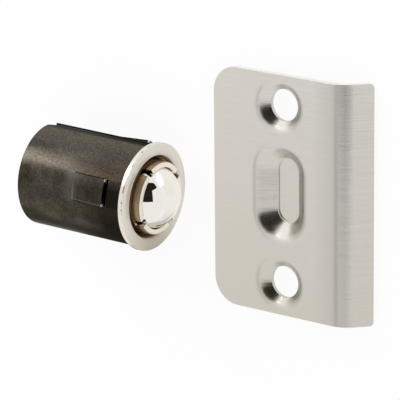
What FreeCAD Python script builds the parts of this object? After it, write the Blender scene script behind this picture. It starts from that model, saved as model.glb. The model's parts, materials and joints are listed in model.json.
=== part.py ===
import FreeCAD, Part
import math
import os

import Sketcher

# Adjustable drive-in ball catch with its full-lip strike plate, in millimetres.
# The catch: a slit spring-steel sleeve on a flanged, threaded housing; a slotted cage screwed into the
# housing holds the sprung ball.  The strike: one bent sheet with two dimpled screw holes and a ball pocket.
# The catch is drawn along its own axis (+Z towards the ball, origin at the centre of the flange's face), the
# strike on its own face (X across, Y along the long side, +Z out of the face).  At the end both are laid on
# the plane Z = 0 as they come to rest: the catch on its side, the strike on its back.

os.makedirs("parts", exist_ok=True)
doc = FreeCAD.newDocument("ball_catch")

# Driving dimensions
SIZES = [
    ("ball_diameter", 15.875, "5/8 inch ball"),
    ("ball_clearance", 0.08, "ball to cage bore, each side"),
    ("seat_gap", 0.04, "ball to its lip, spring and plug to their seats"),
    ("cage_projection", 1.95, "lip face in front of the flange face"),
    ("cage_wall", 1.43, "threaded part of the cage"),
    ("cage_rear_room", 1.95, "housing's rear end to the cage, room to screw the cage in"),
    ("neck_wall", 0.58, "plain neck of the cage"),
    ("neck_length", 3.9, "plain neck, from the lip face"),
    ("lip_thickness", 0.95, ""),
    ("lip_hold", 0.58, "how far the lip closes in over the ball, each side"),
    ("lip_bevel", 0.25, "outer front edge of the lip"),
    ("slot_width", 1.8, "spanner slots in the neck"),
    ("slot_depth", 2.3, "from the lip face"),
    ("slot_angle", 33.0, "place of the first slot"),
    ("slot_count", 4, ""),
    ("plug_thickness", 1.6, "disc that closes the cage"),
    ("rim_thickness", 0.5, "cage rim turned in behind the plug"),
    ("rim_width", 2.5, "cage rim, over the plug"),
    ("spring_diameter", 12.0, "mean diameter of the coils"),
    ("spring_wire", 1.1, ""),
    ("spring_pitch", 2.45, "one open coil"),
    ("coil_gap", 0.02, "between the closed coils at the spring's ends"),
    ("thread_clearance", 0.05, "cage to threaded bore, and plug to cage, each side"),
    ("housing_wall", 1.1, "relieved middle of the housing"),
    ("housing_recess", 4.5, "sleeve's rear end to the housing's"),
    ("band_height", 0.65, "bands that carry the sleeve, above the relieved middle"),
    ("band_length", 2.4, "each band"),
    ("mouth_flare", 0.4, "countersink of the threaded bore"),
    ("mouth_depth", 0.5, ""),
    ("flange_rim", 0.7, "flange beyond the barrel, each side"),
    ("flange_thickness", 1.3, ""),
    ("flange_bevel", 0.25, "rear edge of the flange's rim"),
    ("flange_break", 0.12, "front edge of the flange's rim"),
    ("sleeve_clearance", 0.05, "sleeve to its bands and its seat, each side"),
    ("sleeve_seat", 0.2, "recess in the flange's back that centres the sleeve's end"),
    ("sleeve_wall", 0.8, "spring-steel strip"),
    ("body_length", 30.5, "flange face to the sleeve's rear end"),
    ("seam_width", 1.9, "open seam of the rolled sleeve"),
    ("seam_angle", -9.5, "place of the seam round the barrel"),
    ("clip_length", 3.6, "clipped corner beside the seam, along the axis"),
    ("clip_width", 1.5, "clipped corner beside the seam, round the barrel"),
    ("barb_count", 3, ""),
    ("barb_angle", 77.5, "place of the first barb round the barrel"),
    ("barb_width", 6.5, "lanced barb, across"),
    ("barb_length", 8.9, "lanced barb, root to free edge"),
    ("barb_tip_depth", 5.9, "free edge of the barb behind the flange face"),
    ("barb_raise", 0.7, "free edge of the barb above the barrel"),
    ("barb_gap", 0.7, "window left in front of the free edge"),
    ("barb_side_gap", 0.05, "cut on each side of the barb"),
    ("barb_root", 0.3, "length of the barb that lies in the wall at its root"),
    ("strike_height", 57.15, "2-1/4 inch"),
    ("feature_line", 18.9, "line of holes and pocket from the flat's free edge"),
    ("lip_reach", 17.3, "that line to the corner where flat and lip would meet"),
    ("sheet", 1.4, "strike sheet"),
    ("lip_length", 7.6, "full lip, from that corner"),
    ("lip_angle", 48.0, "lip below the flat"),
    ("bend_radius", 6.0, "outside of the bend"),
    ("corner_radius", 6.35, "corners of the flat"),
    ("lip_corner_radius", 1.0, "corners of the lip"),
    ("screw_to_end", 7.475, "screw holes from the strike's ends"),
    ("screw_hole", 7.6, ""),
    ("dimple_depth", 1.85, "face to the hole's edge"),
    ("dimple_angle", 40.0, "slope of the dimple's wall"),
    ("dimple_shoulder", 3.9, "soft edge of the dimple"),
    ("dimple_floor", 0.8, "metal left at the hole"),
    ("pocket_length", 15.0, "flat floor of the ball pocket"),
    ("pocket_width", 5.6, "flat floor of the ball pocket"),
    ("pocket_depth", 3.55, "face to floor"),
    ("pocket_step", 0.25, "small ledge round the floor"),
    ("pocket_shift", 0.5, "pocket beside the strike's middle"),
    ("pocket_angle", 42.0, "slope of the pocket's wall"),
    ("pocket_shoulder", 4.2, "soft edge of the pocket"),
    ("pocket_floor", 0.9, "metal left under the floor"),
    ("heel_radius", 0.8, "rounded edge behind the dimples and the pocket"),
    ("catch_turn", -2.2, "the catch's axis in plan, from square to the strike"),
    ("catch_gap", 10.55, "flange face to the strike's free edge"),
    ("catch_shift", -2.6, "catch beside the strike's middle"),
]

sheet = doc.addObject("Spreadsheet::Sheet", "dims")
for row, (alias, number, note) in enumerate(SIZES, start=1):
    sheet.set(f"A{row}", alias)
    sheet.set(f"B{row}", str(number))
    sheet.setAlias(f"B{row}", alias)
    sheet.set(f"C{row}", note)
doc.recompute()


def value(expression):
    """The number that an expression on the sheet gives."""
    return float(sheet.evalExpression(expression))


# Sketch and feature helpers
def new_sketch(body, name, role):
    """A sketch on one of the body's own origin planes."""
    sketch = body.newObject("Sketcher::SketchObject", name)
    plane = next(item for item in body.Origin.OriginFeatures if item.Role == role)
    sketch.AttachmentSupport = [(plane, "")]
    sketch.MapMode = "FlatFace"
    return sketch


def pin_point(sketch, geometry, end, x, y):
    """Holds one end of a line or arc at two expressions."""
    for axis, kind, text in ((-2, "DistanceX", x), (-1, "DistanceY", y)):
        if text == "0":
            sketch.addConstraint(Sketcher.Constraint("PointOnObject", geometry, end, axis))
            continue
        index = sketch.addConstraint(Sketcher.Constraint(kind, -1, 1, geometry, end, value(text)))
        sketch.setExpression(f"Constraints[{index}]", text)


def arc_between(start, finish, radius, left):
    """Arc of a circle from start to finish, turning left or right."""
    chord = finish - start
    middle = (start + finish) * 0.5
    rise = math.sqrt(max(radius ** 2 - (chord.Length / 2) ** 2, 0.0))
    side = FreeCAD.Vector(-chord.y, chord.x, 0) / chord.Length
    centre = middle + side * (rise if left else -rise)
    angles = [math.atan2(point.y - centre.y, point.x - centre.x) for point in (start, finish)]
    if not left:
        angles.reverse()
    circle = Part.Circle(centre, FreeCAD.Vector(0, 0, 1), radius)
    return Part.ArcOfCircle(circle, angles[0], angles[1])


def draw_outline(sketch, outline):
    """Closed outline: each entry is (x, y), or (x, y, radius, side) for an arc to the next entry."""
    points = [FreeCAD.Vector(value(entry[0]), value(entry[1]), 0) for entry in outline]
    ends = []
    for index, entry in enumerate(outline):
        start, finish = points[index], points[(index + 1) % len(points)]
        if len(entry) == 2:
            ends.append((sketch.addGeometry(Part.LineSegment(start, finish)), 1, 2))
            continue
        left = entry[3] == "left"
        arc = sketch.addGeometry(arc_between(start, finish, value(entry[2]), left))
        ends.append((arc, 1, 2) if left else (arc, 2, 1))
        index_radius = sketch.addConstraint(Sketcher.Constraint("Radius", arc, value(entry[2])))
        sketch.setExpression(f"Constraints[{index_radius}]", entry[2])
    for index, (geometry, first, last) in enumerate(ends):
        following = ends[(index + 1) % len(ends)]
        sketch.addConstraint(Sketcher.Constraint("Coincident", geometry, last, following[0], following[1]))
        pin_point(sketch, geometry, first, outline[index][0], outline[index][1])


def lift_and_turn(sketch, height, angle):
    """Lifts a sketch on the XY plane and turns it; the first angle only sets the axis it turns about."""
    upright = FreeCAD.Rotation(FreeCAD.Vector(0, 0, 1), 1)
    sketch.AttachmentOffset = FreeCAD.Placement(FreeCAD.Vector(), upright)
    sketch.setExpression(".AttachmentOffset.Base.z", height)
    sketch.setExpression(".AttachmentOffset.Rotation.Angle", angle)


def feature(body, kind, name, profile, **settings):
    """A PartDesign feature from a sketch; text settings are expressions."""
    item = body.newObject(f"PartDesign::{kind}", name)
    item.Profile = profile
    for key, setting in settings.items():
        if isinstance(setting, str) and key in ("Length", "Angle"):
            item.setExpression(key, setting)
        else:
            setattr(item, key, setting)
    return item


def turned(body, name, outline, kind="Revolution", angle="360", reverse=False, across=None, along=None):
    """Revolves an outline drawn in radius and height about the sketch's upright axis."""
    sketch = new_sketch(body, f"{name}_profile", "XZ_Plane")
    if across:
        sketch.setExpression(".AttachmentOffset.Base.x", across)
    if along:
        sketch.setExpression(".AttachmentOffset.Base.z", f"-({along})")
    draw_outline(sketch, outline)
    return feature(body, kind, name, sketch, ReferenceAxis=(sketch, ["V_Axis"]), Angle=angle,
                   Reversed=reverse)


def repeat_round(body, name, originals, count):
    """Copies of features round the body's own Z axis."""
    pattern = body.newObject("PartDesign::PolarPattern", name)
    pattern.Originals = originals
    axis = next(item for item in body.Origin.OriginFeatures if item.Role == "Z_Axis")
    pattern.Axis = (axis, [""])
    pattern.Angle = 360
    pattern.setExpression("Occurrences", count)
    body.Tip = pattern
    return pattern


def mirror_along(body, name, originals):
    """The same features on the other half of the strike's long side."""
    copy = body.newObject("PartDesign::Mirrored", name)
    copy.Originals = originals
    plane = next(item for item in body.Origin.OriginFeatures if item.Role == "XZ_Plane")
    copy.MirrorPlane = (plane, [""])
    body.Tip = copy
    return copy


def new_body(name):
    body = doc.addObject("PartDesign::Body", name)
    body.Label = name
    return body


# Radii and heights that several pieces share, worked out from the ball outwards
BALL = "(dims.ball_diameter / 2)"
CAGE_BORE = f"({BALL} + dims.ball_clearance)"
LIP_HOLE = f"({BALL} - dims.lip_hold)"
NECK = f"({CAGE_BORE} + dims.neck_wall)"
CAGE = f"({CAGE_BORE} + dims.cage_wall)"
THREAD = f"({CAGE} + dims.thread_clearance)"
WAIST = f"({THREAD} + dims.housing_wall)"
BAND = f"({WAIST} + dims.band_height)"
SLEEVE_BORE = f"({BAND} + dims.sleeve_clearance)"
BARREL = f"({SLEEVE_BORE} + dims.sleeve_wall)"
FLANGE = f"({BARREL} + dims.flange_rim)"
LIP_BACK = "(dims.cage_projection - dims.lip_thickness)"
BALL_CENTRE = f"({LIP_BACK} - dims.seat_gap - sqrt({BALL} ^ 2 - {LIP_HOLE} ^ 2))"
SLEEVE_FRONT = "(dims.sleeve_seat - dims.flange_thickness)"
HOUSING_REAR = "(dims.housing_recess - dims.body_length)"
CAGE_REAR = f"({HOUSING_REAR} + dims.cage_rear_room)"
PLUG_REAR = f"({CAGE_REAR} + dims.rim_thickness + dims.seat_gap)"
PLUG_FRONT = f"({PLUG_REAR} + dims.plug_thickness)"
STRIKE_WIDTH = "(dims.feature_line + dims.lip_reach)"

CUT_PAST = 1  # how far a cut runs on past the metal
POINTS_PER_TURN = 8  # the spring's path is a smooth curve through these
WIRE_SIDES = 10  # its round wire has flats, which keeps the many coils light


# The sleeve: rolled strip with an open seam and barbs lanced out of its wall
def make_sleeve():
    body = new_body("sleeve")
    wall = turned(body, "sleeve_wall", [
        (SLEEVE_BORE, SLEEVE_FRONT),
        (SLEEVE_BORE, "-dims.body_length"),
        (BARREL, "-dims.body_length"),
        (BARREL, SLEEVE_FRONT)])
    doc.recompute()

    seam = new_sketch(body, "seam_outline", "XZ_Plane")
    turn_sketch(seam, "dims.seam_angle + 90")
    edge = "dims.seam_width / 2"
    draw_outline(seam, [
        (f"-{edge}", "0"),
        (f"-{edge}", f"-dims.body_length - {CUT_PAST}"),
        (f"{edge} + dims.clip_width", f"-dims.body_length - {CUT_PAST}"),
        (f"{edge} + dims.clip_width", "-dims.body_length"),
        (edge, "-dims.body_length + dims.clip_length"),
        (edge, "0")])
    feature(body, "Pocket", "seam", seam, Length=f"2 * {BARREL}", Reversed=True)

    window = new_sketch(body, "window_outline", "XZ_Plane")
    turn_sketch(window, "dims.barb_angle + 90")
    half = "dims.barb_width / 2"
    front = "-dims.barb_tip_depth + dims.barb_gap"
    root = "-dims.barb_tip_depth - dims.barb_length"
    draw_outline(window, [(f"-{half}", front), (f"-{half}", root), (half, root), (half, front)])
    opening = feature(body, "Pocket", "window", window, Length=f"2 * {BARREL}", Reversed=True)
    repeat_round(body, "windows", [opening], "dims.barb_count")
    doc.recompute()

    foot = barb_section(body, "barb_foot", f"{root} - dims.barb_root", "0")
    tip = barb_section(body, "barb_tip", "-dims.barb_tip_depth", "dims.barb_raise")
    tongue = feature(body, "AdditiveLoft", "barb", foot, Sections=[tip], Ruled=True)
    repeat_round(body, "barbs", [tongue], "dims.barb_count")
    return body


def turn_sketch(sketch, angle):
    """Turns a sketch on the XZ plane about the axis of the barrel; the first angle only sets that axis."""
    about_axis = FreeCAD.Rotation(FreeCAD.Vector(0, 1, 0), 1)
    sketch.AttachmentOffset = FreeCAD.Placement(FreeCAD.Vector(), about_axis)
    sketch.setExpression(".AttachmentOffset.Rotation.Angle", angle)


def barb_section(body, name, height, raised):
    """Cross-section of the barb at one height, its arcs moved outwards by the raise."""
    sketch = new_sketch(body, name, "XY_Plane")
    lift_and_turn(sketch, height, "dims.barb_angle")
    half = "dims.barb_width / 2 - dims.barb_side_gap"
    outer = f"sqrt({BARREL} ^ 2 - ({half}) ^ 2) + {raised}"
    inner = f"sqrt({SLEEVE_BORE} ^ 2 - ({half}) ^ 2) + {raised}"
    draw_outline(sketch, [
        (outer, f"-({half})", BARREL, "left"),
        (outer, half),
        (inner, half, SLEEVE_BORE, "right"),
        (inner, f"-({half})")])
    return sketch


# The housing: face flange, threaded bore, and two bands that carry the sleeve
def make_housing():
    body = new_body("housing")
    turned(body, "housing_wall", [
        (f"{THREAD} + dims.mouth_flare", "0"),
        (THREAD, "-dims.mouth_depth"),
        (THREAD, HOUSING_REAR),
        (BAND, HOUSING_REAR),
        (BAND, f"{HOUSING_REAR} + dims.band_length"),
        (WAIST, f"{HOUSING_REAR} + dims.band_length"),
        (WAIST, "-dims.flange_thickness - dims.band_length"),
        (BAND, "-dims.flange_thickness - dims.band_length"),
        (BAND, SLEEVE_FRONT),
        (f"{BARREL} + dims.sleeve_clearance", SLEEVE_FRONT),
        (f"{BARREL} + dims.sleeve_clearance", "-dims.flange_thickness"),
        (f"{FLANGE} - dims.flange_bevel", "-dims.flange_thickness"),
        (FLANGE, "-dims.flange_thickness + dims.flange_bevel"),
        (FLANGE, "-dims.flange_break"),
        (f"{FLANGE} - dims.flange_break", "0")])
    return body


# The cage: screwed into the housing, its slotted lip turned in over the ball
def make_cage():
    body = new_body("ball_cage")
    turned(body, "cage_wall", [
        (LIP_HOLE, "dims.cage_projection"),
        (LIP_HOLE, LIP_BACK),
        (CAGE_BORE, LIP_BACK),
        (CAGE_BORE, f"{CAGE_REAR} + dims.rim_thickness"),
        (f"{CAGE_BORE} - dims.rim_width", f"{CAGE_REAR} + dims.rim_thickness"),
        (f"{CAGE_BORE} - dims.rim_width", CAGE_REAR),
        (CAGE, CAGE_REAR),
        (CAGE, "dims.cage_projection - dims.neck_length"),
        (NECK, "dims.cage_projection - dims.neck_length"),
        (NECK, "dims.cage_projection - dims.lip_bevel"),
        (f"{NECK} - dims.lip_bevel", "dims.cage_projection")])
    doc.recompute()

    slot = new_sketch(body, "slot_outline", "XY_Plane")
    lift_and_turn(slot, "dims.cage_projection", "dims.slot_angle")
    half = "dims.slot_width / 2"
    draw_outline(slot, [
        (f"{LIP_HOLE} / 2", f"-{half}"),
        (f"2 * {NECK}", f"-{half}"),
        (f"2 * {NECK}", half),
        (f"{LIP_HOLE} / 2", half)])
    cut = feature(body, "Pocket", "slot", slot, Length="dims.slot_depth")
    repeat_round(body, "slots", [cut], "dims.slot_count")
    return body


def make_ball():
    ball = doc.addObject("Part::Sphere", "ball")
    ball.Label = "ball"
    ball.setExpression("Radius", BALL)
    return ball


def make_plug():
    body = new_body("spring_plug")
    disc = f"({CAGE_BORE} - dims.thread_clearance)"
    turned(body, "plug_disc", [
        ("0", PLUG_REAR),
        (disc, PLUG_REAR),
        (disc, PLUG_FRONT),
        ("0", PLUG_FRONT)])
    return body


# The spring: coils from the plug to the ball, closing up at both ends
def flat_sided(centre, normal, radius):
    """Section of the spring's wire, square to its path."""
    level = normal.cross(FreeCAD.Vector(0, 0, 1)).normalize()
    upright = normal.cross(level)
    angles = [2 * math.pi * side / WIRE_SIDES for side in range(WIRE_SIDES)]
    corners = [centre + (level * math.cos(angle) + upright * math.sin(angle)) * radius for angle in angles]
    return Part.makePolygon(corners + corners[:1])


def make_spring():
    coil = value("dims.spring_diameter / 2")
    wire = value("dims.spring_wire / 2")
    open_pitch = value("dims.spring_pitch")
    closed_pitch = value("dims.spring_wire + dims.coil_gap")
    to_ball = value(f"{BALL} + dims.seat_gap") + wire
    top = value(BALL_CENTRE) - math.sqrt(to_ball ** 2 - coil ** 2)
    foot = value(f"{PLUG_FRONT} + dims.seat_gap") + wire
    turns = 2 + (top - foot - 2 * closed_pitch) / open_pitch

    def climbed(turn):
        """Height after so many turns from an end: half a turn closed, then one turn opening up."""
        opening = min(max(turn - 0.5, 0.0), 1.0)
        opened = max(turn - 1.5, 0.0)
        easing = (open_pitch - closed_pitch) * opening ** 2 / 2
        return closed_pitch * min(turn, 1.5) + easing + open_pitch * opened

    def point(turn):
        angle = 2 * math.pi * turn
        height = foot + climbed(turn) if turn < turns / 2 else top - climbed(turns - turn)
        return FreeCAD.Vector(coil * math.cos(angle), coil * math.sin(angle), height)

    steps = round(turns * POINTS_PER_TURN)
    curve = Part.BSplineCurve()
    curve.interpolate([point(turns * step / steps) for step in range(steps + 1)])
    path = curve.toShape()
    section = flat_sided(point(0), path.tangentAt(path.FirstParameter), wire)
    spring = doc.addObject("Part::Feature", "spring")
    spring.Label = "spring"
    spring.Shape = Part.Wire([path]).makePipeShell([section], True, False)
    return spring


# The strike plate: one bent sheet, its dimples and pocket pressed through from the face
def pressed(depth, foot_radius, angle, shoulder, floor_thickness, step=None):
    """Outlines in radius and height of what is pressed out behind the sheet and what it leaves in front."""
    half_angle = f"tan({angle} / 2)"
    wall_depth = f"({depth} - {step})" if step else depth
    foot = f"({foot_radius} + {step})" if step else foot_radius
    rim = f"({foot} + {wall_depth} / tan({angle}))"
    rim_behind = f"({rim} + dims.sheet * {half_angle})"
    behind = f"({shoulder} - dims.sheet)"
    bottom = f"({depth} + {floor_thickness})"
    heel = "dims.heel_radius"
    foot_behind = f"({rim_behind} - ({bottom} - dims.sheet) / tan({angle}))"
    bulge = [
        ("0", "-dims.sheet / 2"),
        (f"{rim_behind} + {behind} * {half_angle}", "-dims.sheet / 2"),
        (f"{rim_behind} + {behind} * {half_angle}", "-dims.sheet", behind, "left"),
        (f"{rim_behind} - {behind} * {half_angle} * cos({angle})",
         f"-dims.sheet - {behind} * {half_angle} * sin({angle})"),
        (f"{foot_behind} + {heel} * {half_angle} * cos({angle})",
         f"-{bottom} + {heel} * {half_angle} * sin({angle})", heel, "right"),
        (f"{foot_behind} - {heel} * {half_angle}", f"-{bottom}"),
        ("0", f"-{bottom}")]
    hollow = [
        ("0", "dims.sheet"),
        (f"{rim} + {shoulder} * {half_angle}", "dims.sheet"),
        (f"{rim} + {shoulder} * {half_angle}", "0", shoulder, "left"),
        (f"{rim} - {shoulder} * {half_angle} * cos({angle})", f"-{shoulder} * {half_angle} * sin({angle})"),
        (foot, f"-{wall_depth}")]
    if step:
        hollow += [(foot_radius, f"-{wall_depth}"), (foot_radius, f"-{depth}"), ("0", f"-{depth}")]
    else:
        hollow += [(foot, f"-{bottom} - {CUT_PAST}"), ("0", f"-{bottom} - {CUT_PAST}")]
    return bulge, hollow


def both_sides(outline):
    """An outline in radius and height, drawn on both sides of its axis."""
    right = outline[1:-1]
    left = []
    for index in range(len(right) - 1, -1, -1):
        x, y = right[index][:2]
        arc = right[index - 1][2:] if index > 0 and len(right[index - 1]) == 4 else ()
        left.append((f"-({x})", y) + tuple(arc))
    return list(right) + left


def make_strike():
    body = new_body("strike_plate")
    bend = "dims.bend_radius"
    half_lip = "tan(dims.lip_angle / 2)"
    across, down = "cos(dims.lip_angle)", "sin(dims.lip_angle)"
    inside = f"({bend} - dims.sheet)"
    corner = f"({STRIKE_WIDTH} - dims.sheet * {half_lip})"
    section = new_sketch(body, "sheet_section", "XZ_Plane")
    draw_outline(section, [
        ("0", "0"),
        ("0", "-dims.sheet"),
        (f"{corner} - {inside} * {half_lip}", "-dims.sheet", inside, "right"),
        (f"{corner} + {inside} * {half_lip} * {across}", f"-dims.sheet - {inside} * {half_lip} * {down}"),
        (f"{STRIKE_WIDTH} + dims.lip_length * {across} - dims.sheet * {down}",
         f"-dims.lip_length * {down} - dims.sheet * {across}"),
        (f"{STRIKE_WIDTH} + dims.lip_length * {across}", f"-dims.lip_length * {down}"),
        (f"{STRIKE_WIDTH} + {bend} * {half_lip} * {across}", f"-{bend} * {half_lip} * {down}", bend, "left"),
        (f"{STRIKE_WIDTH} - {bend} * {half_lip}", "0")])
    plate = feature(body, "Pad", "bent_sheet", section, Length="dims.strike_height", Midplane=True)
    doc.recompute()
    round_corners(body, plate)

    bulge, hollow = pressed("dims.dimple_depth", "dims.screw_hole / 2", "dims.dimple_angle",
                            "dims.dimple_shoulder", "dims.dimple_floor")
    spot = {"across": "dims.feature_line", "along": "(dims.strike_height / 2 - dims.screw_to_end)"}
    mirror_along(body, "dimples_behind", [turned(body, "dimple_behind", bulge, **spot)])
    mirror_along(body, "dimples", [turned(body, "dimple", hollow, kind="Groove", **spot)])
    doc.recompute()

    bulge, hollow = pressed("dims.pocket_depth", "dims.pocket_width / 2", "dims.pocket_angle",
                            "dims.pocket_shoulder", "dims.pocket_floor", step="dims.pocket_step")
    reach = "(dims.pocket_length / 2 - dims.pocket_width / 2)"
    for name, outline, turn_kind, straight_kind in (("pocket_behind", bulge, "Revolution", "Pad"),
                                                    ("pocket", hollow, "Groove", "Pocket")):
        turned(body, f"{name}_top", outline, kind=turn_kind, angle="180", across="dims.feature_line",
               along=f"dims.pocket_shift + {reach}")
        turned(body, f"{name}_bottom", outline, kind=turn_kind, angle="180", reverse=True,
               across="dims.feature_line", along=f"dims.pocket_shift - {reach}")
        middle = new_sketch(body, f"{name}_section", "XZ_Plane")
        middle.setExpression(".AttachmentOffset.Base.x", "dims.feature_line")
        middle.setExpression(".AttachmentOffset.Base.z", "-dims.pocket_shift")
        draw_outline(middle, both_sides(outline))
        feature(body, straight_kind, f"{name}_middle", middle, Length=f"2 * {reach}", Midplane=True)
        doc.recompute()
    return body


def round_corners(body, plate):
    """Rounds the flat's free corners and, less, the lip's."""
    half = value("dims.strike_height / 2")
    lip = value("dims.lip_angle")
    for name, radius, is_flat in (("flat_corners", "dims.corner_radius", True),
                                  ("lip_corners", "dims.lip_corner_radius", False)):
        base = body.Tip
        names = []
        for index, edge in enumerate(base.Shape.Edges, start=1):
            ends = [vertex.Point for vertex in edge.Vertexes]
            if len(ends) != 2 or abs(edge.Length - value("dims.sheet")) > 1e-4:
                continue
            if any(abs(abs(point.y) - half) > 1e-4 for point in ends):
                continue
            if (max(point.x for point in ends) < 1e-4) == is_flat:
                names.append(f"Edge{index}")
        rounding = body.newObject("PartDesign::Fillet", name)
        rounding.Base = (base, names)
        rounding.setExpression("Radius", radius)
        doc.recompute()


sleeve = make_sleeve()
housing = make_housing()
cage = make_cage()
ball = make_ball()
plug = make_plug()
spring = make_spring()
strike = make_strike()
doc.recompute()


# Both pieces laid down as they come to rest
def catch_rotation():
    """On its side: the rear edge of the flange's rim and of the sleeve touch the floor."""
    barrel, length = value(BARREL), value("dims.body_length")
    tilt = math.atan(value("dims.flange_rim") / (length - value("dims.flange_thickness - dims.flange_bevel")))
    turn = math.radians(value("dims.catch_turn"))
    ahead = FreeCAD.Vector(math.cos(tilt) * math.cos(turn), math.cos(tilt) * math.sin(turn), math.sin(tilt))
    level = FreeCAD.Vector(-math.sin(turn), math.cos(turn), 0)
    return FreeCAD.Rotation(level, ahead.cross(level), ahead, "ZXY")


def strike_rotation():
    """On its back: the rear of the pocket and the lip's edge touch the floor."""
    slope = math.radians(value("dims.pocket_angle"))
    lip_end = "dims.lip_length * cos(dims.lip_angle) - dims.sheet * sin(dims.lip_angle)"
    lip_across = value(f"{STRIKE_WIDTH} + {lip_end}")
    lip_depth = value("dims.lip_length * sin(dims.lip_angle) + dims.sheet * cos(dims.lip_angle)")
    foot = value("dims.pocket_width / 2 + dims.pocket_step")
    wall = value("dims.pocket_depth - dims.pocket_step")
    back = value("dims.pocket_depth + dims.pocket_floor")
    half_slope = math.tan(slope / 2)
    behind = foot + wall / math.tan(slope) + value("dims.sheet") * half_slope
    flat = behind - (back - value("dims.sheet")) / math.tan(slope) - value("dims.heel_radius") * half_slope
    edge = value("dims.feature_line") - flat
    lean = math.degrees(math.atan2(lip_depth - back, lip_across - edge))
    return FreeCAD.Rotation(FreeCAD.Vector(0, 1, 0), -lean)


def lay_down(pieces, across, along, rotation):
    """Turns pieces that share one frame and lowers them until they touch the floor."""
    for piece in pieces:
        piece.Placement = FreeCAD.Placement(FreeCAD.Vector(across, along, 0), rotation)
    doc.recompute()
    lowest = Part.makeCompound([piece.Shape for piece in pieces]).optimalBoundingBox(False, False).ZMin
    for piece in pieces:
        piece.Placement.Base = FreeCAD.Vector(across, along, -lowest)
    doc.recompute()


lay_down([sleeve, housing, cage, plug, spring], -value("dims.catch_gap"), value("dims.catch_shift"),
         catch_rotation())
lay_down([strike], 0, 0, strike_rotation())
ball.Placement = housing.Placement.multiply(
    FreeCAD.Placement(FreeCAD.Vector(0, 0, value(BALL_CENTRE)), FreeCAD.Rotation()))
doc.recompute()
PIECES = [sleeve, housing, cage, ball, plug, spring, strike]

# The origin: on the floor, below the middle of the box round both pieces
box = Part.makeCompound([piece.Shape for piece in PIECES]).optimalBoundingBox(False, False)
for piece in PIECES:
    piece.Placement.Base = piece.Placement.Base - FreeCAD.Vector(box.Center.x, box.Center.y, 0)
doc.recompute()

for item in doc.Objects:
    if "Invalid" in item.State or "Error" in item.State:
        raise RuntimeError(f"{item.Name} failed: {item.State}")
for piece in PIECES:
    shape = piece.Shape
    if shape.isNull() or not shape.isValid():
        raise RuntimeError(f"{piece.Label} has no valid shape")
    shape.exportStep(f"parts/{piece.Label}.step")
    place = piece.Placement
    print(f"{piece.Label}: {shape.Volume:.1f} mm3 in {len(shape.Solids)} solid,",
          f"at {tuple(place.Base)}, turned {place.Rotation.Q}")
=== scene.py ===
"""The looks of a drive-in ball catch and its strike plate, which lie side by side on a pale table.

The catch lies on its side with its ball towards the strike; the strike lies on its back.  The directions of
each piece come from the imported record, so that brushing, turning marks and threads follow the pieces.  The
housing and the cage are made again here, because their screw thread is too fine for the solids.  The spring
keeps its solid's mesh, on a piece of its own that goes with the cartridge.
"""
import json
import math

import bmesh
import bpy
from mathutils import Matrix, Vector


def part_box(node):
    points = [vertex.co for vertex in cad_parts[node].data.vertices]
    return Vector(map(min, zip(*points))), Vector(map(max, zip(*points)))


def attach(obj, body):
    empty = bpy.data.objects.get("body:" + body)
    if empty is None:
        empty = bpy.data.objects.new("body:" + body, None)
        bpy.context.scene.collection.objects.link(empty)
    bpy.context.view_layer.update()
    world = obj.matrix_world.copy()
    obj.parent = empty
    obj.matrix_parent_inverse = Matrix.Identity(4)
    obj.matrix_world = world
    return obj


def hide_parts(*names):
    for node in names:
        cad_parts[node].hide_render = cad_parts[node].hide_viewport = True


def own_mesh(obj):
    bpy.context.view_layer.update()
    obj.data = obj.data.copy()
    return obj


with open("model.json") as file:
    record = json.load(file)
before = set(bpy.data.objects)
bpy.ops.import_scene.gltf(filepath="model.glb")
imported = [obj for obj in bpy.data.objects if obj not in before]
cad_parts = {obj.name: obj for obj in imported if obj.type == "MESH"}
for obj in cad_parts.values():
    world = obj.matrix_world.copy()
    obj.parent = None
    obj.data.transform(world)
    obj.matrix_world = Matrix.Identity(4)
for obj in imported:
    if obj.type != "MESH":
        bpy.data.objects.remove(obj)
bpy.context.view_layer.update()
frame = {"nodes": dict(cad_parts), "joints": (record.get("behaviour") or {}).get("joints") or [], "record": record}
MM = 0.001

# Sizes of the catch, in millimetres: radii, then places along its axis from the flange's face forwards
BALL_RADIUS = 15.875 / 2
CAGE_BORE = BALL_RADIUS + 0.08
LIP_HOLE = BALL_RADIUS - 0.58
NECK = CAGE_BORE + 0.58
CAGE = CAGE_BORE + 1.43
THREAD_BORE = CAGE + 0.05
WAIST = THREAD_BORE + 1.1
BAND = WAIST + 0.65
SLEEVE_BORE = BAND + 0.05
BARREL = SLEEVE_BORE + 0.8
SEAT = BARREL + 0.05
FLANGE = BARREL + 0.697
FLANGE_THICKNESS = 1.3
SLEEVE_SEAT = 0.2
BODY_LENGTH = 30.5
HOUSING_REAR = 4.5 - BODY_LENGTH
BAND_LENGTH = 2.4
MOUTH_FLARE, MOUTH_DEPTH = 0.4, 0.5
MOUTH = THREAD_BORE + MOUTH_FLARE
LIP_FACE = 1.95
LIP_THICKNESS = 0.95
NECK_FOOT = LIP_FACE - 3.9
CAGE_REAR = HOUSING_REAR + 1.95
RIM_THICKNESS, RIM_WIDTH = 0.5, 2.5
SLOT_WIDTH, SLOT_DEPTH, SLOT_COUNT = 1.8, 2.3, 4
SLOT_ANGLE = math.radians(33)
BARB_ANGLE, BARB_COUNT = math.radians(77.5), 3
BARB_WIDTH, BARB_TIP, BARB_ROOT = 6.5, -5.9, -14.8
BARB_SIDE = BARB_WIDTH / 2

# Its screw thread, right-hand
PITCH = 1.0
THREAD_DEPTH = 0.45
THREAD_FORM = ((0.0625, 0), (0.375, 1), (0.625, 1), (0.9375, 0))  # share of a turn, share of the depth
THREAD_LEAD = 0.6  # the thread fades out over this length at its ends
ROUND_STEPS = 120
CLOSE = 1e-5  # millimetres: nearer points are one
SHARP_ANGLE = math.radians(25)

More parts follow.
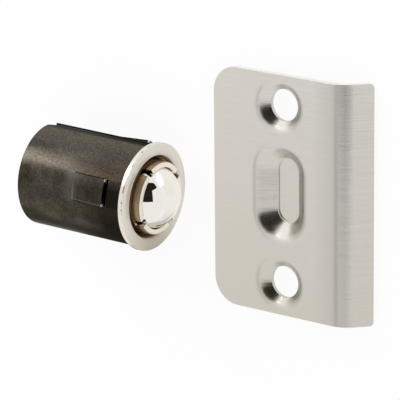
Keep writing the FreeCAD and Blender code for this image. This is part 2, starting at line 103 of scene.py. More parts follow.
# Directions, and the catch's own frame: its origin is the middle of the flange's face
MOUNTS = {mount["name"]: mount for mount in frame["record"]["mounts"]}
CATCH_AXIS = -Vector(MOUNTS["barrel"]["axis"]).normalized()
CATCH_LEVEL = Vector((0, 0, 1)).cross(CATCH_AXIS).normalized()
CATCH_UP = CATCH_AXIS.cross(CATCH_LEVEL)
AXIS_POINT = Vector(next(joint for joint in frame["joints"] if joint["name"] == "cage_turn")["pos_m"])
FLANGE_BACK = Vector(MOUNTS["flange_back"]["pos_m"])
FACE_PLACE = (FLANGE_BACK - AXIS_POINT).dot(CATCH_AXIS) + FLANGE_THICKNESS * MM
CATCH_POINT = AXIS_POINT + CATCH_AXIS * FACE_PLACE
CATCH_FRAME = Matrix((CATCH_LEVEL, CATCH_UP, CATCH_AXIS)).transposed().to_4x4()
CATCH_FRAME.translation = CATCH_POINT
STRIKE_NORMAL = Vector(MOUNTS["screw_hole_top"]["axis"]).normalized()
STRIKE_ALONG = Vector((0, 1, 0))
STRIKE_ACROSS = STRIKE_ALONG.cross(STRIKE_NORMAL).normalized()
STRIKE_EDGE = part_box("strike_plate")[0].x
STRIKE_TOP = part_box("strike_plate")[1].z

# Marks on the metal: millimetres and degrees; grain is in features a metre in three directions
STRIKE_LINES, STRIKE_SCRATCHES = (60, 8000, 0), (110, 4000, 0)
PAINTED_BEND_BAND = (27.8, 35.8, 36.4, 37.5)  # the painted dark reflection along the strike's bend: it rises, stays and ends
STRIKE_ENDS = 28.3  # the strike's end faces lie farther than this from its middle
TURNING_MARKS = (700, 5200, 700)
RIM_NICKS = ((42, 1.2), (69, 5.0), (83, 1.2), (91, 1.0))  # angle and reach
SLEEVE_FRONT = (-18, -9)  # along the sleeve, where it gets rougher and its lit half is painted darker
SLEEVE_SHADE = (56, 74)  # round it, from its painted lit half to its painted dark one
# Round the sleeve, where its top is painted palest
SLEEVE_TOP = (37, 14)
SHEEN_UPPER = ((33, 43), (58, 47))  # the painted sheen rises and falls again round the sleeve
# Round the sleeve: painted brighter below the sheen, and painted darker towards both of its edges
SHEEN_LOWER, SHEEN_END, SHEEN_START = (92, 106), (122, 134), (7, 1)
SHEEN_MIDDLE = -22
SHEEN_SKEW = -8.0  # radians round the sleeve for a metre along it
CUT_SHADE = (-13, -6)  # along the sleeve, where painted shade makes its dark half darker still

# The photograph's camera: where it looks, from where, and how far it is rolled about its line of sight
CAMERA_TARGET = Vector((-2.32, -3.82, 5.94)) * MM
CAMERA_DISTANCE = 800 * MM
CAMERA_AZIMUTH = math.radians(117.70)
CAMERA_ELEVATION = math.radians(53.51)
CAMERA_ROLL = math.radians(-113.46)
CAMERA_LENS, CAMERA_SENSOR = 309.6, 36.0
CAMERA_CLIP = (0.01, 20)

# Room, table and lamp
ROOM_LIGHT = 0.92
ROOM_COLOUR = (1.0, 0.985, 0.96)
TABLE_SIZE = 6.0
TABLE_COLOUR = 0.86
TABLE_GLOW = {"Is Camera Ray": 0.92, "Is Transmission Ray": 0.92, "Is Glossy Ray": 0.62}  # share of white
KEY_TOWARD = (-0.735, 0.63, 0.22)  # right, up and back, as the camera sees it
KEY_DISTANCE = 0.75
KEY_SIZE = 0.37
KEY_POWER = 1.95

# Cards across the line of sight: outline in units of the distance, distance, colour and strength.
# The dark one's right side is what the ball shows as a hooked black patch.  The dim one, beyond the catch,
# draws the soft outlines of the strike's hollows.
CAMERA_CARDS = {
    "dark_card": (((-0.90, 1.0), (-0.40, 1.15), (0.135, 0.918), (0.523, 0.998), (0.744, 0.632), (0.645, 0.477),
                   (0.316, 0.27), (0.356, -0.10), (0.40, -0.43), (-0.80, -0.42)),
                  0.62, (1.0, 0.75, 0.5), 0.02),
    "dim_card": (((-2.3, -1.5), (-1.82, -0.96), (-1.74, -0.75), (-1.78, -0.59), (-1.93, -0.46), (-1.25, -0.2),
                  (-1.05, -0.35), (-1.0, -0.5), (-1.05, -0.78), (-1.3, -1.2), (-1.8, -1.8)),
                 0.40, (1.0, 0.97, 0.92), 0.60)}

# The card that stands between the pieces, and the one that stands at the edge of the level ones
MIDDLE_CARD_WIDTH, MIDDLE_CARD_HEIGHT = 150, 32
EDGE_CARD_PLACE, EDGE_CARD_ENDS = -0.9, (45, -34)

# Level cards: outline and height in millimetres, colour, and strength or its fade
OVER_STRIKE = STRIKE_TOP / MM + 0.6
OVER_TABLE = 0.3
NEAR_GLOW = ((1.0, 0.98, 0.94), (1, -21, -11, 0.84, 0.94))
# Seen only in the metal: the dim parts of these cards, and the whole shade card, are painted shadow of the pieces
# on the table
LEVEL_CARDS = {
    "cream_card": (((-1, -2), (44, -2), (44, 45), (-1, 45)), OVER_STRIKE, (1.0, 0.975, 0.915), 0.915),
    "pale_card": (((8, -34), (44, -34), (44, -2), (8, -2)), OVER_STRIKE,
                  (1.0, 0.985, 0.955), (1, -34, -24, 0.85, 0.94)),
    "near_card": (((-1, -34), (8, -34), (8, -2), (-1, -2)), OVER_STRIKE, *NEAR_GLOW),
    "strip_card": (((-10.5, -31), (-1, -31), (-1, 45), (-10.5, 45)), OVER_TABLE,
                   (1.0, 0.97, 0.92), (1, -23, -11, 0.60, 0.94)),
    "grey_card": (((-42, -220), (15, -220), (15, -31), (-42, -31)), OVER_TABLE,
                  (1.0, 0.95, 0.88), (0, -5, 15, 0.60, 0.93)),
    "shade_card": (((-42, -31), (-11, -31), (-11, -12), (-42, -12)), OVER_TABLE, (1.0, 0.9, 0.8), 0.06),
    # Brighter than the room: the ball shows it as a bright spot with a hard edge
    "spot_card": (((-6.8, 9.5), (7, 12), (18, 18), (33, 30), (80, 60), (342, 256), (135, 219), (48, 97),
                   (9.3, 40), (-1.3, 25), (-5.9, 18)),
                  OVER_STRIKE + 0.3, (1.0, 0.99, 0.95), (1, 10, 25, 0.92, 1.45))}


# Shader nodes
class Nodes:
    """The shader nodes of a material or a world."""

    def __init__(self, owner, empty=True):
        owner.use_nodes = True
        self.tree = owner.node_tree
        if empty:
            self.tree.nodes.clear()

    def add(self, kind, inputs=(), **settings):
        """A node with its settings, and its inputs as numbers or as links."""
        node = self.tree.nodes.new(kind)
        for key, setting in settings.items():
            setattr(node, key, setting)
        for socket, content in dict(inputs).items():
            if isinstance(content, bpy.types.NodeSocket):
                self.tree.links.new(content, node.inputs[socket])
            else:
                node.inputs[socket].default_value = content
        return node

    def mixed(self, factor, first, second):
        return self.add("ShaderNodeMixShader", {0: factor, 1: first, 2: second}).outputs[0]

    def ramp(self, value, low, high, out_low=0.0, out_high=1.0, **settings):
        inputs = {"Value": value, "From Min": low, "From Max": high, "To Min": out_low, "To Max": out_high}
        return self.add("ShaderNodeMapRange", inputs, **settings).outputs[0]


# Camera
def photo_camera():
    level = math.cos(CAMERA_ELEVATION)
    back = Vector((math.sin(CAMERA_AZIMUTH) * level, -math.cos(CAMERA_AZIMUTH) * level,
                   math.sin(CAMERA_ELEVATION)))
    data = bpy.data.cameras.new("photo_camera")
    data.sensor_width = CAMERA_SENSOR
    data.lens = CAMERA_LENS
    data.clip_start, data.clip_end = CAMERA_CLIP
    camera = bpy.data.objects.new("photo_camera", data)
    bpy.context.scene.collection.objects.link(camera)
    upright = (-back).to_track_quat("-Z", "Y").to_matrix().to_4x4()
    camera.matrix_world = (Matrix.Translation(CAMERA_TARGET + back * CAMERA_DISTANCE) @ upright
                           @ Matrix.Rotation(CAMERA_ROLL, 4, "Z"))
    bpy.context.scene.camera = camera
    return camera


# Room, table, cards and lamp
def room():
    """The studio's room: white behind the pieces, a plain pale grey in their metal."""
    world = bpy.data.worlds.new("studio")
    nodes = Nodes(world)
    from_camera = nodes.add("ShaderNodeLightPath").outputs["Is Camera Ray"]
    light = nodes.add("ShaderNodeBackground", {"Color": (*ROOM_COLOUR, 1), "Strength": ROOM_LIGHT})
    seen = nodes.add("ShaderNodeBackground", {"Strength": 1.0})
    mix = nodes.mixed(from_camera, light.outputs[0], seen.outputs[0])
    nodes.add("ShaderNodeOutputWorld", {"Surface": mix})
    bpy.context.scene.world = world


def flat_stage(name, points, material):
    """A flat sheet of the studio, such as the table or a card."""
    mesh = bpy.data.meshes.new(name)
    mesh.from_pydata([tuple(point) for point in points], [], [tuple(range(len(points)))])
    sheet = bpy.data.objects.new(name, mesh)
    sheet.data.materials.append(material)
    bpy.context.scene.collection.objects.link(sheet)
    return sheet


def table():
    """The pale table: seen nearly white, also in the metal, and it keeps the pieces' shadow."""
    material = bpy.data.materials.new("pale_table")
    nodes = Nodes(material)
    rays = nodes.add("ShaderNodeLightPath").outputs
    white_share = 0.0
    for ray, share in TABLE_GLOW.items():
        inputs = {0: rays[ray], 1: share, 2: white_share}
        white_share = nodes.add("ShaderNodeMath", inputs, operation="MULTIPLY_ADD", use_clamp=True).outputs[0]
    matt = nodes.add("ShaderNodeBsdfDiffuse", {"Color": (TABLE_COLOUR, TABLE_COLOUR, TABLE_COLOUR, 1)})
    white = nodes.add("ShaderNodeEmission")
    mix = nodes.mixed(white_share, matt.outputs[0], white.outputs[0])
    nodes.add("ShaderNodeOutputMaterial", {"Surface": mix})
    half = TABLE_SIZE / 2
    flat_stage("table", [(-half, -half, 0), (half, -half, 0), (half, half, 0), (-half, half, 0)], material)


def glow(name, colour, strength):
    """A glowing front over a clear back.

    The strength is a number, or a fade: an axis, two places on it in millimetres and the strengths there.
    """
    material = bpy.data.materials.new(name)
    nodes = Nodes(material)
    if isinstance(strength, tuple):
        axis, start, end, at_start, at_end = strength
        where = nodes.add("ShaderNodeTexCoord").outputs["Object"]
        place = nodes.add("ShaderNodeSeparateXYZ", {0: where}).outputs[axis]
        strength = nodes.ramp(place, start * MM, end * MM, at_start, at_end, interpolation_type="SMOOTHSTEP")
    front = nodes.add("ShaderNodeEmission", {"Color": (*colour, 1), "Strength": strength})
    from_behind = nodes.add("ShaderNodeNewGeometry").outputs["Backfacing"]
    clear = nodes.add("ShaderNodeBsdfTransparent")
    mix = nodes.mixed(from_behind, front.outputs[0], clear.outputs[0])
    nodes.add("ShaderNodeOutputMaterial", {"Surface": mix})
    return material


def mirrored_card(name, points, material):
    """A card that only the metal sees."""
    card = flat_stage(name, points, material)
    card.visible_camera = False
    card.visible_diffuse = False
    card.visible_shadow = False
    card.visible_transmission = False


def cards(camera):
    """What the mirror-bright metal shows besides the room and the table."""
    turn = camera.matrix_world.to_3x3()
    for name, (outline, distance, colour, strength) in CAMERA_CARDS.items():
        points = [CAMERA_TARGET + turn @ Vector((x, y, 1)) * distance for x, y in outline]
        mirrored_card(name, points, glow(name, colour, strength))

    # Between the two pieces, so that the catch doesn't show in the strike
    x = (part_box("ball")[1].x + STRIKE_EDGE) / 2
    half, height = MIDDLE_CARD_WIDTH / 2 * MM, MIDDLE_CARD_HEIGHT * MM
    points = [Vector((x, y, z)) for y, z in ((-half, 0), (half, 0), (half, height), (-half, height))]
    mirrored_card("middle_card", points, glow("middle_card", ROOM_COLOUR, ROOM_LIGHT))

    # The ground near the ball, the flange and the sleeve, over the strike too
    for name, (outline, height, colour, strength) in LEVEL_CARDS.items():
        points = [Vector((x, y, height)) * MM for x, y in outline]
        mirrored_card(name, points, glow(name, colour, strength))
    far, near = EDGE_CARD_ENDS
    corners = ((far, 0), (near, 0), (near, OVER_STRIKE), (far, OVER_STRIKE))
    points = [Vector((EDGE_CARD_PLACE, y, z)) * MM for y, z in corners]
    mirrored_card("edge_card", points, glow("edge_card", *NEAR_GLOW))


def key_lamp(camera):
    toward = (camera.matrix_world.to_3x3() @ Vector(KEY_TOWARD)).normalized()
    data = bpy.data.lights.new("key", "AREA")
    data.shape = "SQUARE"
    data.size = KEY_SIZE
    data.energy = KEY_POWER
    data.color = ROOM_COLOUR
    lamp = bpy.data.objects.new("key", data)
    bpy.context.scene.collection.objects.link(lamp)
    lamp.location = CAMERA_TARGET + toward * KEY_DISTANCE
    lamp.rotation_mode = "QUATERNION"
    lamp.rotation_quaternion = (-toward).to_track_quat("-Z", "Y")


# Turned and threaded pieces
def eased(outline):
    """The outline with its corners rounded: each entry is (radius, height) or (radius, height, rounding)."""
    points = []
    for index, entry in enumerate(outline):
        corner = Vector(entry[:2])
        if len(entry) == 2:
            points.append(tuple(corner))
            continue
        rounding = entry[2]
        before = (Vector(outline[index - 1][:2]) - corner).normalized()
        after = (Vector(outline[(index + 1) % len(outline)][:2]) - corner).normalized()
        half_turn = before.angle(after) / 2
        start = corner + before * rounding / math.tan(half_turn)
        end = corner + after * rounding / math.tan(half_turn)
        centre = corner + (before + after).normalized() * rounding / math.sin(half_turn)
        for share in (0, 1 / 3, 2 / 3, 1):
            spoke = (start - centre).normalized().slerp((end - centre).normalized(), share)
            points.append(tuple(centre + spoke * rounding))
    return points


def thread_rows(radius, low, high):
    """Rows of points along the helix, from low to high, of a thread whose grooves go in from a radius."""
    rows = []
    for turn in range(math.floor(low / PITCH) - 1, math.ceil(high / PITCH) + 1):
        for share, groove in THREAD_FORM:
            row = []
            for step in range(ROUND_STEPS):
                height = min(max((turn + share + step / ROUND_STEPS) * PITCH, low), high)
                fade = min(1.0, (height - low) / THREAD_LEAD, (high - height) / THREAD_LEAD)
                row.append((radius - THREAD_DEPTH * groove * fade, height))
            rows.append(row)
    return rows


def plain_rows(points):
    return [[point] * ROUND_STEPS for point in points]


def skin(mesh, rows, climb=0):
    """Faces over rows of points round the axis. Climb is how many rows on a row comes out after one turn."""
    last = len(rows) - 1
    corners = []
    for row in rows:
        ring = []
        for step, (radius, height) in enumerate(row):
            angle = 2 * math.pi * step / ROUND_STEPS
            ring.append(mesh.verts.new((radius * math.cos(angle), radius * math.sin(angle), height)))
        corners.append(ring)

    def face(*places):
        found = []
        for row, step in places:
            corner = corners[min(max(row, 0), last)][step]
            if corner not in found:
                found.append(corner)
        if len(found) > 2:
            mesh.faces.new(found)

    for row in range(last):
        for step in range(ROUND_STEPS - 1):
            face((row, step), (row + 1, step), (row + 1, step + 1), (row, step + 1))
    for row in range(-climb, last):
        face((row, ROUND_STEPS - 1), (row + 1, ROUND_STEPS - 1), (row + 1 + climb, 0), (row + climb, 0))


def linked(name, data):
    piece = bpy.data.objects.new(name, data)
    bpy.context.scene.collection.objects.link(piece)
    return piece


def finished(name, mesh):
    data = bpy.data.meshes.new(name)
    mesh.to_mesh(data)
    mesh.free()
    return linked(name, data)


def threaded_ring(name, outline, thread):
    """A closed ring about the catch's axis: a rounded outline, joined at its ends by a thread."""
    mesh = bmesh.new()
    rows = thread_rows(*thread)
    skin(mesh, rows, len(THREAD_FORM))
    skin(mesh, plain_rows([rows[-1][0]] + eased(outline) + [rows[0][0]]))
    bmesh.ops.remove_doubles(mesh, verts=mesh.verts, dist=CLOSE)
    bmesh.ops.dissolve_degenerate(mesh, edges=mesh.edges, dist=CLOSE)
    bmesh.ops.recalc_face_normals(mesh, faces=mesh.faces)
    bmesh.ops.scale(mesh, vec=(MM, MM, MM), verts=mesh.verts)
    bmesh.ops.transform(mesh, matrix=CATCH_FRAME, verts=mesh.verts)
    return finished(name, mesh)


def smooth_with_edges(piece):
    piece.data.shade_smooth()
    piece.data.set_sharp_from_angle(angle=SHARP_ANGLE)


def threaded_housing():
    outline = [
        (MOUTH, 0, 0.06),
        (FLANGE, 0, 0.14),
        (FLANGE, -FLANGE_THICKNESS, 0.25),
        (SEAT, -FLANGE_THICKNESS),
        (SEAT, SLEEVE_SEAT - FLANGE_THICKNESS),
        (BAND, SLEEVE_SEAT - FLANGE_THICKNESS),
        (BAND, -FLANGE_THICKNESS - BAND_LENGTH, 0.1),
        (WAIST, -FLANGE_THICKNESS - BAND_LENGTH, 0.2),
        (WAIST, HOUSING_REAR + BAND_LENGTH, 0.2),
        (BAND, HOUSING_REAR + BAND_LENGTH, 0.1),
        (BAND, HOUSING_REAR, 0.2)]
    piece = threaded_ring("threaded_housing", outline, (THREAD_BORE, HOUSING_REAR, -MOUTH_DEPTH))
    smooth_with_edges(piece)
    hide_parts("housing")
    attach(piece, "root")
    return piece


def slot_cutter():
    """The slots across the cage's lip, a little past it in front and inside."""
    mesh = bmesh.new()
    inner, outer = LIP_HOLE / 2, NECK * 1.2
    floor, top = LIP_FACE - SLOT_DEPTH, LIP_FACE + 1
    place = Matrix.Translation(((inner + outer) / 2, 0, (floor + top) / 2))
    size = Matrix.Diagonal((outer - inner, SLOT_WIDTH, top - floor, 1))
    for index in range(SLOT_COUNT):
        turn = Matrix.Rotation(SLOT_ANGLE + 2 * math.pi * index / SLOT_COUNT, 4, "Z")
        block = bmesh.ops.create_cube(mesh, size=1)["verts"]
        bmesh.ops.transform(mesh, matrix=CATCH_FRAME @ Matrix.Scale(MM, 4) @ turn @ place @ size, verts=block)
    return finished("slot_cutter", mesh)


def cut(piece, cutter):
    """Cuts one piece with another, and leaves a plain mesh."""
    boolean = piece.modifiers.new("slots", "BOOLEAN")
    boolean.object = cutter
    boolean.solver = "EXACT"
    graph = bpy.context.evaluated_depsgraph_get()
    result = bpy.data.meshes.new_from_object(piece.evaluated_get(graph))
    piece.modifiers.clear()
    piece.data = result
    bpy.data.objects.remove(cutter)


def threaded_cage():
    outline = [
        (CAGE, CAGE_REAR, 0.2),
        (CAGE_BORE - RIM_WIDTH, CAGE_REAR, 0.12),
        (CAGE_BORE - RIM_WIDTH, CAGE_REAR + RIM_THICKNESS),
        (CAGE_BORE, CAGE_REAR + RIM_THICKNESS),
        (CAGE_BORE, LIP_FACE - LIP_THICKNESS),
        (LIP_HOLE, LIP_FACE - LIP_THICKNESS),
        (LIP_HOLE, LIP_FACE, 0.12),
        (NECK, LIP_FACE, 0.28),
        (NECK, NECK_FOOT)]
    piece = threaded_ring("threaded_cage", outline, (CAGE, CAGE_REAR + 0.3, NECK_FOOT))
    cut(piece, slot_cutter())
    smooth_with_edges(piece)
    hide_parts("ball_cage")
    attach(piece, "cage")
    return piece


def pressed_spring():
    """The solid's own coils again, on a piece of its own that goes with the cartridge."""
    coils = frame["nodes"]["spring"].data.copy()
    piece = linked("coil_spring", coils)
    heights = [vertex.co.dot(CATCH_AXIS) for vertex in coils.vertices]
    foot, top = min(heights), max(heights)
    anchor = AXIS_POINT + CATCH_AXIS * (foot - AXIS_POINT.dot(CATCH_AXIS))
    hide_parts("spring")
    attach(piece, "cartridge")
    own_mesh(piece)
    return piece


# Building blocks of the materials
class Finish(Nodes):
    """A metal and the nodes that its surface is made of."""

    def __init__(self, name, colour, roughness, metallic=1.0):
        self.material = bpy.data.materials.new(name)
        super().__init__(self.material, empty=False)
        self.shader = self.tree.nodes["Principled BSDF"]
        self.shader.inputs["Metallic"].default_value = metallic
        self.shader.inputs["Base Color"].default_value = (*colour, 1)
        self.shader.inputs["Roughness"].default_value = roughness

    def link(self, output, socket):
        self.tree.links.new(output, self.shader.inputs[socket])

    def maths(self, operation, first, second=0.0):
        return self.add("ShaderNodeMath", {0: first, 1: second}, operation=operation).outputs[0]

    def times(self, first, *others):
        """The product of numbers and links."""
        for other in others:
            first = self.maths("MULTIPLY", first, other)
        return first

    def mean(self, first, second):
        return self.maths("ADD", self.times(first, 0.5), self.times(second, 0.5))

    def apart(self, value, place):
        return self.maths("ABSOLUTE", self.maths("SUBTRACT", value, place))

    def vectors(self, operation, first, second):
        return self.add("ShaderNodeVectorMath", {0: first, 1: second}, operation=operation).outputs

    def dot(self, vector, direction):
        return self.vectors("DOT_PRODUCT", vector, tuple(direction))["Value"]

    def where(self):
        return self.add("ShaderNodeTexCoord").outputs["Object"]

    def place(self, origin, *directions):
        """Place on the object, in metres from an origin along some directions."""
        offset = self.vectors("SUBTRACT", self.where(), tuple(origin))[0]
        return [self.dot(offset, direction) for direction in directions]

    def joined(self, x, y, z):
        return self.add("ShaderNodeCombineXYZ", {0: x, 1: y, 2: z}).outputs[0]

    def noise(self, vector, scale, detail=3.0, roughness=0.55, stretch=(1, 1, 1)):
        """Noise in features a metre, times a stretch for each direction."""
        wide = self.vectors("MULTIPLY", vector, stretch)[0]
        inputs = {"Vector": wide, "Scale": scale, "Detail": detail, "Roughness": roughness}
        return self.add("ShaderNodeTexNoise", inputs).outputs[0]

    def over_mm(self, value, low, high, out_low=0.0, out_high=1.0):
        return self.ramp(value, low * MM, high * MM, out_low, out_high)

    def over_degrees(self, value, low, high, out_low=0.0, out_high=1.0):
        return self.ramp(value, math.radians(low), math.radians(high), out_low, out_high)

    def near(self, value, place, far, close):
        """Rises from nought, far from a place, to one, close to it, all in millimetres."""
        return self.over_mm(self.apart(value, place * MM), far, close)

    def past(self, value, place):
        return self.maths("GREATER_THAN", value, place * MM)

    def before(self, value, place):
        return self.maths("LESS_THAN", value, place * MM)

    def colour(self, factor, dark, light, blend="MIX"):
        """Between two colours, each given or linked."""
        sides = [side if isinstance(side, bpy.types.NodeSocket) else (*side, 1) for side in (dark, light)]
        inputs = {0: factor, 6: sides[0], 7: sides[1]}
        return self.add("ShaderNodeMix", inputs, data_type="RGBA", blend_type=blend).outputs[2]

    def relief(self, height, distance, strength=1.0, edge=0.12):
        """Fine relief over slightly rounded edges, in millimetres."""
        rounded = self.add("ShaderNodeBevel", {"Radius": edge * MM}, samples=6).outputs[0]
        inputs = {"Height": height, "Distance": distance * MM, "Strength": strength, "Normal": rounded}
        self.link(self.add("ShaderNodeBump", inputs).outputs[0], "Normal")


class RoundFinish(Finish):
    """A finish that knows the distance from the catch's axis, the angle round it and the place along it."""

    def __init__(self, *metal):
        super().__init__(*metal)
        level, up, self.along = self.place(CATCH_POINT, CATCH_LEVEL, CATCH_UP, CATCH_AXIS)
        self.radius = self.maths("SQRT", self.maths("ADD", self.times(level, level), self.times(up, up)))
        self.angle = self.maths("ARCTAN2", up, level)
        self.point = self.joined(level, up, self.along)


# The strike's finish
def satin_nickel():
    """Satin nickel, brushed across the strike's width, with a painted dark reflection where the bend runs into the
    lip, painted shade on walls that face away from the bend and painted highlights on the end faces.
    """
    finish = Finish("satin_nickel", (0.68, 0.66, 0.63), 0.22)
    corner = Vector((STRIKE_EDGE, 0, STRIKE_TOP))
    across, along, deep = finish.place(corner, STRIKE_ACROSS, STRIKE_ALONG, STRIKE_NORMAL)
    place = finish.joined(across, along, deep)
    lines = finish.noise(place, 1.0, 3.0, 0.65, STRIKE_LINES)
    scratches = finish.noise(place, 1.0, 2.0, 0.6, STRIKE_SCRATCHES)
    grain = finish.mean(lines, scratches)
    tint = finish.colour(finish.ramp(grain, 0.35, 0.65), (0.65, 0.63, 0.60), (0.73, 0.71, 0.685))
    warm_side = finish.over_mm(across, 0, 28, 0.5, 0.0)
    tint = finish.colour(warm_side, tint, (0.71, 0.68, 0.62))
    lower = finish.over_mm(along, 24, -28, 0.0, 0.7)
    tint = finish.colour(lower, tint, (0.63, 0.60, 0.545))
    rises, stays, falls, ends = PAINTED_BEND_BAND
    # Painted shade along the bend, standing for a dark reflection there
    painted_bend_shade = finish.times(finish.over_mm(across, rises, stays), finish.over_mm(across, falls, ends, 1.0, 0.0))
    tint = finish.colour(painted_bend_shade, tint, (0.55, 0.535, 0.51))
    facing = finish.add("ShaderNodeNewGeometry").outputs["Normal"]
    # Painted shade on walls that face away from the bend, such as one side of each hollow
    turned_away = finish.ramp(finish.dot(facing, -STRIKE_ACROSS), 0.15, 0.6)
    painted_hollow_shade = finish.times(turned_away, finish.before(across, rises))
    tint = finish.colour(painted_hollow_shade, tint, (0.30, 0.28, 0.245))
    # Painted highlight on the strike's end faces
    lengthways = finish.maths("ABSOLUTE", finish.dot(facing, STRIKE_ALONG))
    end_face_highlight = finish.times(finish.maths("GREATER_THAN", lengthways, 0.8),
                            finish.past(finish.maths("ABSOLUTE", along), STRIKE_ENDS))
    finish.link(finish.colour(end_face_highlight, tint, (0.95, 0.93, 0.90)), "Base Color")
    broad = finish.noise(place, 60.0, 2.0, 0.5)
    finish.link(finish.ramp(broad, 0.3, 0.7, 0.20, 0.25), "Roughness")
    finish.relief(grain, 0.035)
    return finish.material


# The finish of the housing and the cage
def rim_specks(finish, rings):
    """Dark specks and nicks on the flange's rim."""
    specks = finish.ramp(finish.noise(finish.point, 700.0, 2.0, 0.5), 0.66, 0.70)
    for angle, reach in RIM_NICKS:
        off = finish.apart(finish.angle, math.radians(angle))
        nick = finish.times(finish.over_degrees(off, reach, reach * 0.6), finish.ramp(rings, 0.3, 0.5))
        specks = finish.maths("MAXIMUM", specks, nick)
    rim = finish.over_mm(finish.radius, FLANGE - 0.40, FLANGE - 0.12)
    return finish.times(rim, finish.over_mm(finish.along, -0.45, -0.3), specks)


def slot_shade(finish):
    """The inside of the first slot across the cage's lip."""
    aside = finish.times(finish.apart(finish.angle, SLOT_ANGLE), finish.radius)
    return finish.times(finish.before(aside, SLOT_WIDTH / 2 + 0.02), finish.before(finish.along, LIP_FACE - 0.12),
                        finish.before(finish.radius, NECK + 0.05),
                        finish.past(finish.along, LIP_FACE - SLOT_DEPTH - 0.1))


def turned_nickel():
    """Bright nickel over fine turning marks: specks on the rim, oil and painted shade round the neck, a duller
    face painted darker towards its bottom, and painted shade in the bore and in a slot.
    """
    finish = RoundFinish("bright_nickel", (0.83, 0.79, 0.73), 0.17)
    radius, along = finish.radius, finish.along
    rings = finish.noise(finish.joined(radius, along, 0.0), 6000.0, 2.0)
    cloud = finish.noise(finish.point, 220.0, 4.0, 0.6)
    marks = finish.noise(finish.point, 1.0, 2.0, 0.5, TURNING_MARKS)
    tint = finish.colour(finish.ramp(cloud, 0.3, 0.7), (0.80, 0.755, 0.69), (0.86, 0.825, 0.77))
    tint = finish.colour(rim_specks(finish, rings), tint, (0.10, 0.075, 0.05))
    # Brown streaks round the neck and in the mouth: oil, with painted shade of the groove between them
    oil_and_groove_shade = finish.times(finish.over_mm(radius, NECK - 0.12, NECK - 0.02),
                        finish.before(radius, THREAD_BORE + MOUTH_FLARE * 0.6))
    streaks = finish.colour(finish.ramp(rings, 0.35, 0.65), (0.19, 0.13, 0.07), (0.50, 0.38, 0.25))
    tint = finish.colour(oil_and_groove_shade, tint, streaks)
    face = finish.times(finish.past(along, -0.1), finish.past(radius, MOUTH))
    # Painted shade: the face is darker towards its bottom
    bottom = finish.over_degrees(finish.maths("ABSOLUTE", finish.angle), 115, 175)
    tint = finish.colour(face, tint, finish.colour(bottom, (0.80, 0.765, 0.71), (0.56, 0.515, 0.435)))
    # Painted shade inside the cage's bore, behind the lip
    bore = finish.times(finish.before(along, LIP_FACE - LIP_THICKNESS - 0.02),
                        finish.before(radius, CAGE_BORE + 0.03))
    tint = finish.colour(bore, tint, (0.13, 0.10, 0.07))
    finish.link(finish.colour(slot_shade(finish), tint, (0.04, 0.03, 0.02)), "Base Color")
    # The face is less metallic near its hole, or it would mirror the dark neck
    on_face = finish.over_mm(radius, MOUTH, MOUTH + 1.3, 0.05, 0.55)
    finish.link(finish.ramp(face, 0.0, 1.0, 1.0, on_face), "Metallic")
    duller = finish.times(finish.maths("MAXIMUM", oil_and_groove_shade, face), 0.16)
    finish.link(finish.maths("ADD", finish.ramp(cloud, 0.3, 0.7, 0.12, 0.24), duller), "Roughness")
    finish.relief(finish.mean(rings, marks), 0.004, finish.ramp(oil_and_groove_shade, 0.0, 1.0, 0.5, 0.1), 0.05)
    return finish.material


# The sleeve's finish
def oxide(finish, patches, front):
    """Mottled oxide, with painted light and shade: paler on the half that faces the lamp and more so at its top,
    darker on the other half.
    """
    mottled = finish.ramp(patches, 0.35, 0.65)
    dark_half = finish.colour(mottled, (0.030, 0.027, 0.019), (0.070, 0.064, 0.053))
    lit_half = finish.colour(mottled, (0.064, 0.058, 0.048), (0.098, 0.089, 0.077))
    # Painted shade: the lit half is darker towards the front
    lit_half = finish.colour(finish.times(front, 0.7), lit_half, (0.056, 0.049, 0.041))
    tint = finish.colour(finish.over_degrees(finish.angle, *SLEEVE_SHADE, 1.0, 0.0), dark_half, lit_half)
    # Painted light at the sleeve's top
    return finish.colour(finish.over_degrees(finish.angle, *SLEEVE_TOP), tint, (0.125, 0.112, 0.094))


def sheen_level(finish):
    """Painted light and shade round the sleeve's axis that shape the lamp's sheen, which is uneven and runs
    slightly askew.
    """
    angle = finish.angle
    from_middle = finish.maths("SUBTRACT", finish.along, SHEEN_MIDDLE * MM)
    askew = finish.maths("ADD", angle, finish.times(from_middle, SHEEN_SKEW))
    upper = finish.times(*[finish.over_degrees(askew, *edge) for edge in SHEEN_UPPER])
    return finish.times(finish.ramp(upper, 0.0, 1.0, 1.0, 0.5),
                        finish.over_degrees(angle, *SHEEN_LOWER, 1.0, 1.45),
                        finish.over_degrees(angle, *SHEEN_END, 1.0, 0.35),
                        finish.over_degrees(angle, *SHEEN_START, 1.0, 0.15))


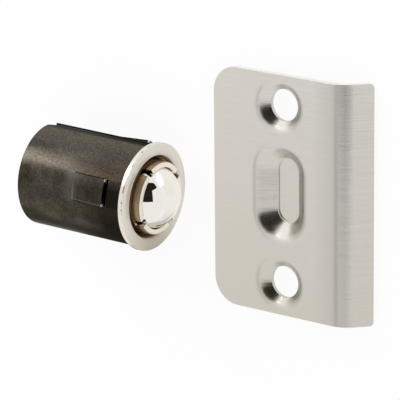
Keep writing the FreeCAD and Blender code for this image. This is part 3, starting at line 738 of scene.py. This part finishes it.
def barb_marks(finish, tint):
    """Bronzed skin beside the barbs and their dark cut lines; painted shade on the sleeve's lower front, and
    painted highlights behind the barbs' roots, along their lower edges and creases, and at their corners.
    """
    along = finish.along
    turned_on = finish.maths("SUBTRACT", finish.angle, BARB_ANGLE)
    spacing = 2 * math.pi / BARB_COUNT
    nearest = finish.maths("ROUND", finish.maths("DIVIDE", turned_on, spacing))
    signed = finish.times(finish.maths("SUBTRACT", turned_on, finish.times(nearest, spacing)), BARREL * MM)
    aside = finish.maths("ABSOLUTE", signed)
    lower_side = finish.over_mm(signed, -1.2, 0.6)
    off_barb = finish.past(aside, BARB_SIDE)
    along_barb = finish.times(finish.past(along, BARB_ROOT), finish.before(along, BARB_TIP))

    # Painted shade on the lower front of the sleeve, near the flange, beside and ahead of the barbs
    painted_front_shade = finish.times(finish.over_degrees(finish.angle, *SLEEVE_SHADE),
                             finish.over_mm(along, *CUT_SHADE, 0.0, 0.9),
                             finish.maths("MAXIMUM", off_barb, finish.past(along, BARB_TIP)))
    tint = finish.colour(painted_front_shade, tint, (0.010, 0.008, 0.005))
    specks = finish.noise(finish.point, 2900.0, 5.0, 0.85)
    bronzed = finish.times(finish.over_mm(aside, BARB_SIDE + 4.2, BARB_SIDE),
                           finish.over_mm(along, BARB_ROOT + 0.5, BARB_ROOT + 4.0), off_barb,
                           finish.ramp(specks, 0.44, 0.70, 0.0, 0.9), finish.ramp(lower_side, 0.0, 1.0, 1.0, 0.4))
    tint = finish.colour(bronzed, tint, (0.20, 0.13, 0.075))
    cut_line = finish.times(finish.near(aside, BARB_SIDE, 0.16, 0.07), along_barb)
    tint = finish.colour(cut_line, tint, (0.006, 0.005, 0.004))
    # Painted highlight behind each barb's root, where the lamp's sheen reaches
    sheen_behind_root = finish.times(finish.near(along, BARB_ROOT - 1.0, 2.6, 0.3),
                          finish.over_mm(aside, BARB_SIDE + 0.8, BARB_SIDE - 0.4), 0.5)
    tint = finish.colour(sheen_behind_root, tint, (0.125, 0.115, 0.10))
    # Painted highlights along the barbs' cut edges and root creases, mostly on their lower sides
    cut_edge_highlight = finish.times(finish.near(aside, BARB_SIDE - 0.32, 0.16, 0.05), along_barb)
    crease = finish.times(finish.near(along, BARB_ROOT + 0.1, 0.45, 0.05), finish.before(aside, BARB_SIDE))
    pale = finish.times(finish.maths("MAXIMUM", cut_edge_highlight, crease), 0.28, lower_side)
    tint = finish.colour(pale, tint, (0.30, 0.285, 0.26))
    # Painted highlights at the tip corners of each barb's opening
    corner_highlight = finish.times(finish.near(aside, BARB_SIDE - 0.35, 0.42, 0.25),
                                 finish.near(along, BARB_TIP + 0.3, 0.48, 0.3))
    return finish.colour(corner_highlight, tint, (0.95, 0.93, 0.90))


def rolled_steel():
    """Dark rolled strip: oxide with oil on it, mottled brown, with painted light and shade round it and painted
    highlights round the barbs.
    """
    finish = RoundFinish("oxide_steel", (0.085, 0.08, 0.07), 0.45, 0.85)
    finish.shader.inputs["Specular Tint"].default_value = (0.44, 0.43, 0.415, 1)
    patches = finish.noise(finish.point, 170.0, 5.0, 0.62)
    grain = finish.noise(finish.point, 2300.0, 4.0, 0.75)
    front = finish.over_mm(finish.along, *SLEEVE_FRONT)
    level = sheen_level(finish)
    tint = finish.colour(1.0, oxide(finish, patches, front), finish.joined(level, level, level), "MULTIPLY")
    fine = finish.colour(finish.ramp(grain, 0.35, 0.65), (0.55, 0.54, 0.53), (1.45, 1.43, 1.38))
    tint = finish.colour(1.0, tint, fine, "MULTIPLY")
    finish.link(barb_marks(finish, tint), "Base Color")
    rough = finish.maths("ADD", finish.ramp(patches, 0.3, 0.7, 0.25, 0.34), finish.times(front, 0.25))
    finish.link(rough, "Roughness")
    finish.relief(grain, 0.012, 0.45, 0.1)
    return finish.material


# The finishes of the ball, the spring and the plug
def polished_ball():
    """Hardened and polished steel."""
    finish = Finish("polished_steel", (0.90, 0.885, 0.855), 0.035)
    haze = finish.noise(finish.where(), 400.0, 3.0, 0.5)
    finish.link(finish.ramp(haze, 0.3, 0.7, 0.02, 0.06), "Roughness")
    return finish.material


def drawn_steel():
    """Plain drawn steel."""
    finish = Finish("plain_steel", (0.5, 0.5, 0.49), 0.33)
    film = finish.noise(finish.where(), 900.0, 3.0, 0.6)
    finish.link(finish.colour(finish.ramp(film, 0.3, 0.7), (0.42, 0.42, 0.41), (0.56, 0.56, 0.55)), "Base Color")
    finish.relief(film, 0.004, 0.4, 0.05)
    return finish.material


def dress(piece, material):
    piece.data.materials.clear()
    piece.data.materials.append(material)


camera = photo_camera()
room()
table()
cards(camera)
key_lamp(camera)

nickel = turned_nickel()
dress(threaded_housing(), nickel)
dress(threaded_cage(), nickel)
dress(frame["nodes"]["sleeve"], rolled_steel())
dress(frame["nodes"]["ball"], polished_ball())
dress(frame["nodes"]["strike_plate"], satin_nickel())
steel = drawn_steel()
dress(frame["nodes"]["spring_plug"], steel)
dress(pressed_spring(), steel)

bpy.context.scene.view_settings.view_transform = "Standard"
